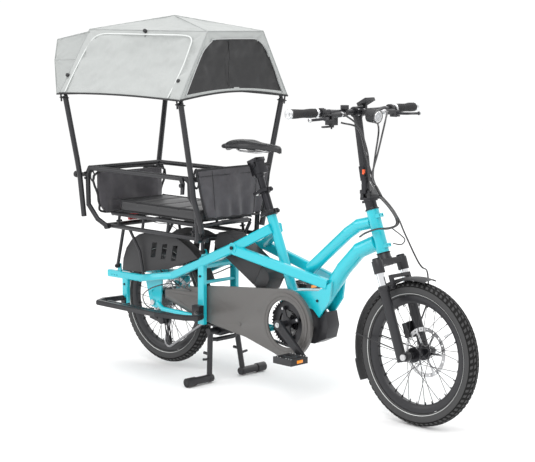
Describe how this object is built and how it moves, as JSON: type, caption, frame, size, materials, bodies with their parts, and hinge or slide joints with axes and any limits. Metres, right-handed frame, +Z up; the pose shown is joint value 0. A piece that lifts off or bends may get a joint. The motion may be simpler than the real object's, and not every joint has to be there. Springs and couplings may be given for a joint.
{
  "type": "cargo bicycle",
  "caption": "Compact longtail cargo bicycle with a folding handlepost, two-legged stand and a covered rear passenger space with rails, cushion and fabric canopy.",
  "frame": {"origin": "on the ground directly below the rear axle, on the bicycle's middle plane", "axes": "+X forward along the bicycle, +Y to the rider's left, +Z up"},
  "size_m": [2.0704, 0.698, 1.4354],
  "materials": {
    "frame_paint": "gloss",
    "black_metal": "satin",
    "black_plastic": "matte",
    "grey_plastic": "satin",
    "black_vinyl": "satin",
    "charcoal_cloth": "matte",
    "grey_cloth": "matte",
    "red_lens": "gloss",
    "steel": "satin",
    "chrome": "polished",
    "tyre": "matte",
    "orange_plastic": "gloss",
    "grip_rubber": "matte",
    "black_gloss": "gloss"
  },
  "bodies": {
    "frame": {"frame": "frame_paint", "motor": "black_metal", "battery": "black_plastic", "chain_guard": "grey_plastic", "foot_boards": "black_plastic", "rack": "black_metal", "cushion": "black_vinyl", "passenger_rails": "black_metal", "front_panel": "charcoal_cloth", "rear_panel": "charcoal_cloth", "canopy_poles": "black_metal", "canopy": "grey_cloth", "wheel_guards": "black_plastic", "rear_fender": "black_plastic", "rear_light": "red_lens", "stand_bracket": "black_metal", "seat_collar": "black_metal", "rear_axle": "steel", "derailleur_body": "black_metal", "chain": "steel"},
    "stand": {"stand_legs": "black_metal"},
    "seat_qr": {"seat_qr_lever": "black_metal"},
    "post_mid": {"seatpost_mid": "black_metal"},
    "post_qr": {"post_qr_lever": "black_metal"},
    "post_top": {"seatpost_top": "black_metal", "saddle": "black_vinyl"},
    "rear_wheel": {"rear_tyre": "tyre", "rear_rim": "black_metal", "rear_hub": "black_metal", "rear_rotor": "steel"},
    "cassette": {"cassette": "steel"},
    "cage": {"derailleur_cage": "black_metal"},
    "guide": {"guide_pulley": "black_plastic"},
    "tension": {"tension_pulley": "black_plastic"},
    "crank": {"crankset": "black_metal", "chainring": "black_metal"},
    "pedal_r": {"pedal_right": "black_plastic"},
    "pedal_l": {"pedal_left": "black_plastic"},
    "steer": {"fork_crown": "black_metal", "stanchions": "chrome", "post_base": "black_metal"},
    "lowers": {"fork_lowers": "black_metal", "front_fender": "black_plastic", "front_axle": "steel", "front_caliper": "black_metal"},
    "front_wheel": {"front_tyre": "tyre", "front_rim": "black_metal", "front_hub": "black_metal", "front_rotor": "steel"},
    "bar_post": {"handlepost": "black_metal", "handlebar": "black_metal", "grips": "grip_rubber", "controls": "black_plastic", "display": "black_gloss", "headlight": "black_plastic"},
    "fold_lever": {"fold_lever": "black_metal"},
    "catch": {"lever_catch": "orange_plastic"},
    "brake_r": {"brake_lever_right": "black_metal"},
    "brake_l": {"brake_lever_left": "black_metal"},
    "shift": {"shift_paddle": "black_plastic"}
  },
  "joints": [
    {"name": "steering", "type": "hinge", "parent": "frame", "child": "steer", "pos_m": [1.152, 0, 0.597], "axis": [-0.342, 0, 0.9397], "range_deg": [-45, 45]},
    {"name": "suspension", "type": "slide", "parent": "steer", "child": "lowers", "axis": [-0.342, 0, 0.9397], "range_m": [0, 0.04]},
    {"name": "front_wheel_spin", "type": "hinge", "parent": "lowers", "child": "front_wheel", "pos_m": [1.32, 0, 0.258], "axis": [0, 1, 0], "continuous": true},
    {"name": "rear_wheel_spin", "type": "hinge", "parent": "frame", "child": "rear_wheel", "pos_m": [0, 0, 0.274], "axis": [0, 1, 0], "continuous": true},
    {"name": "crank_spin", "type": "hinge", "parent": "frame", "child": "crank", "pos_m": [0.737, 0, 0.291], "axis": [0, 1, 0], "continuous": true},
    {"name": "pedal_right_spin", "type": "hinge", "parent": "crank", "child": "pedal_r", "pos_m": [0.85957, -0.166, 0.18815], "axis": [0, 1, 0], "continuous": true},
    {"name": "pedal_left_spin", "type": "hinge", "parent": "crank", "child": "pedal_l", "pos_m": [0.61443, 0.166, 0.39385], "axis": [0, 1, 0], "continuous": true},
    {"name": "cassette_spin", "type": "hinge", "parent": "frame", "child": "cassette", "pos_m": [0, 0, 0.274], "axis": [0, 1, 0], "continuous": true},
    {"name": "cage_pivot", "type": "hinge", "parent": "frame", "child": "cage", "pos_m": [0.045, -0.05, 0.205], "axis": [0, 1, 0], "range_deg": [-8, 20], "deforming": ["chain"]},
    {"name": "guide_pulley_spin", "type": "hinge", "parent": "cage", "child": "guide", "pos_m": [0.045, -0.05, 0.205], "axis": [0, 1, 0], "continuous": true},
    {"name": "tension_pulley_spin", "type": "hinge", "parent": "cage", "child": "tension", "pos_m": [0.062, -0.05, 0.118], "axis": [0, 1, 0], "continuous": true},
    {"name": "stand_fold", "type": "hinge", "parent": "frame", "child": "stand", "pos_m": [0.33, 0, 0.2], "axis": [0, 1, 0], "range_deg": [0, 74]},
    {"name": "seat_collar_lever", "type": "hinge", "parent": "frame", "child": "seat_qr", "pos_m": [0.61463, -0.018, 0.7009], "axis": [-0.3907, 0, 0.9205], "range_deg": [0, 150]},
    {"name": "lower_seatpost_slide", "type": "slide", "parent": "frame", "child": "post_mid", "axis": [-0.3907, 0, 0.9205], "range_m": [-0.045, 0.06]},
    {"name": "middle_post_lever", "type": "hinge", "parent": "post_mid", "child": "post_qr", "pos_m": [0.57784, -0.018, 0.77991], "axis": [-0.3907, 0, 0.9205], "range_deg": [0, 150]},
    {"name": "upper_seatpost_slide", "type": "slide", "parent": "post_mid", "child": "post_top", "axis": [-0.3907, 0, 0.9205], "range_m": [-0.03, 0.06]},
    {"name": "handlepost_fold", "type": "hinge", "parent": "steer", "child": "bar_post", "pos_m": [1.08223, 0.027, 0.7932], "axis": [-1, 0, 0], "range_deg": [0, 95]},
    {"name": "fold_lever_open", "type": "hinge", "parent": "bar_post", "child": "fold_lever", "pos_m": [1.08223, -0.022, 0.8127], "axis": [1, 0, 0], "range_deg": [0, 95]},
    {"name": "fold_lever_catch", "type": "slide", "parent": "fold_lever", "child": "catch", "axis": [0, 1, 0], "range_m": [0, 0.003]},
    {"name": "brake_lever_left_pull", "type": "hinge", "parent": "bar_post", "child": "brake_l", "pos_m": [1.044, 0.186, 1.084], "axis": [0, 0, 1], "range_deg": [0, 18]},
    {"name": "brake_lever_right_pull", "type": "hinge", "parent": "bar_post", "child": "brake_r", "pos_m": [1.044, -0.186, 1.084], "axis": [0, 0, -1], "range_deg": [0, 18]},
    {"name": "shift_paddle_push", "type": "hinge", "parent": "bar_post", "child": "shift", "pos_m": [1.018, -0.136, 1.052], "axis": [0, 0, 1], "range_deg": [0, 20]}
  ],
  "couplings": [
    {"joint": "cassette_spin", "follows": "crank_spin", "ratio": 2.4444},
    {"joint": "guide_pulley_spin", "follows": "crank_spin", "ratio": -4},
    {"joint": "tension_pulley_spin", "follows": "crank_spin", "ratio": 4}
  ]
}
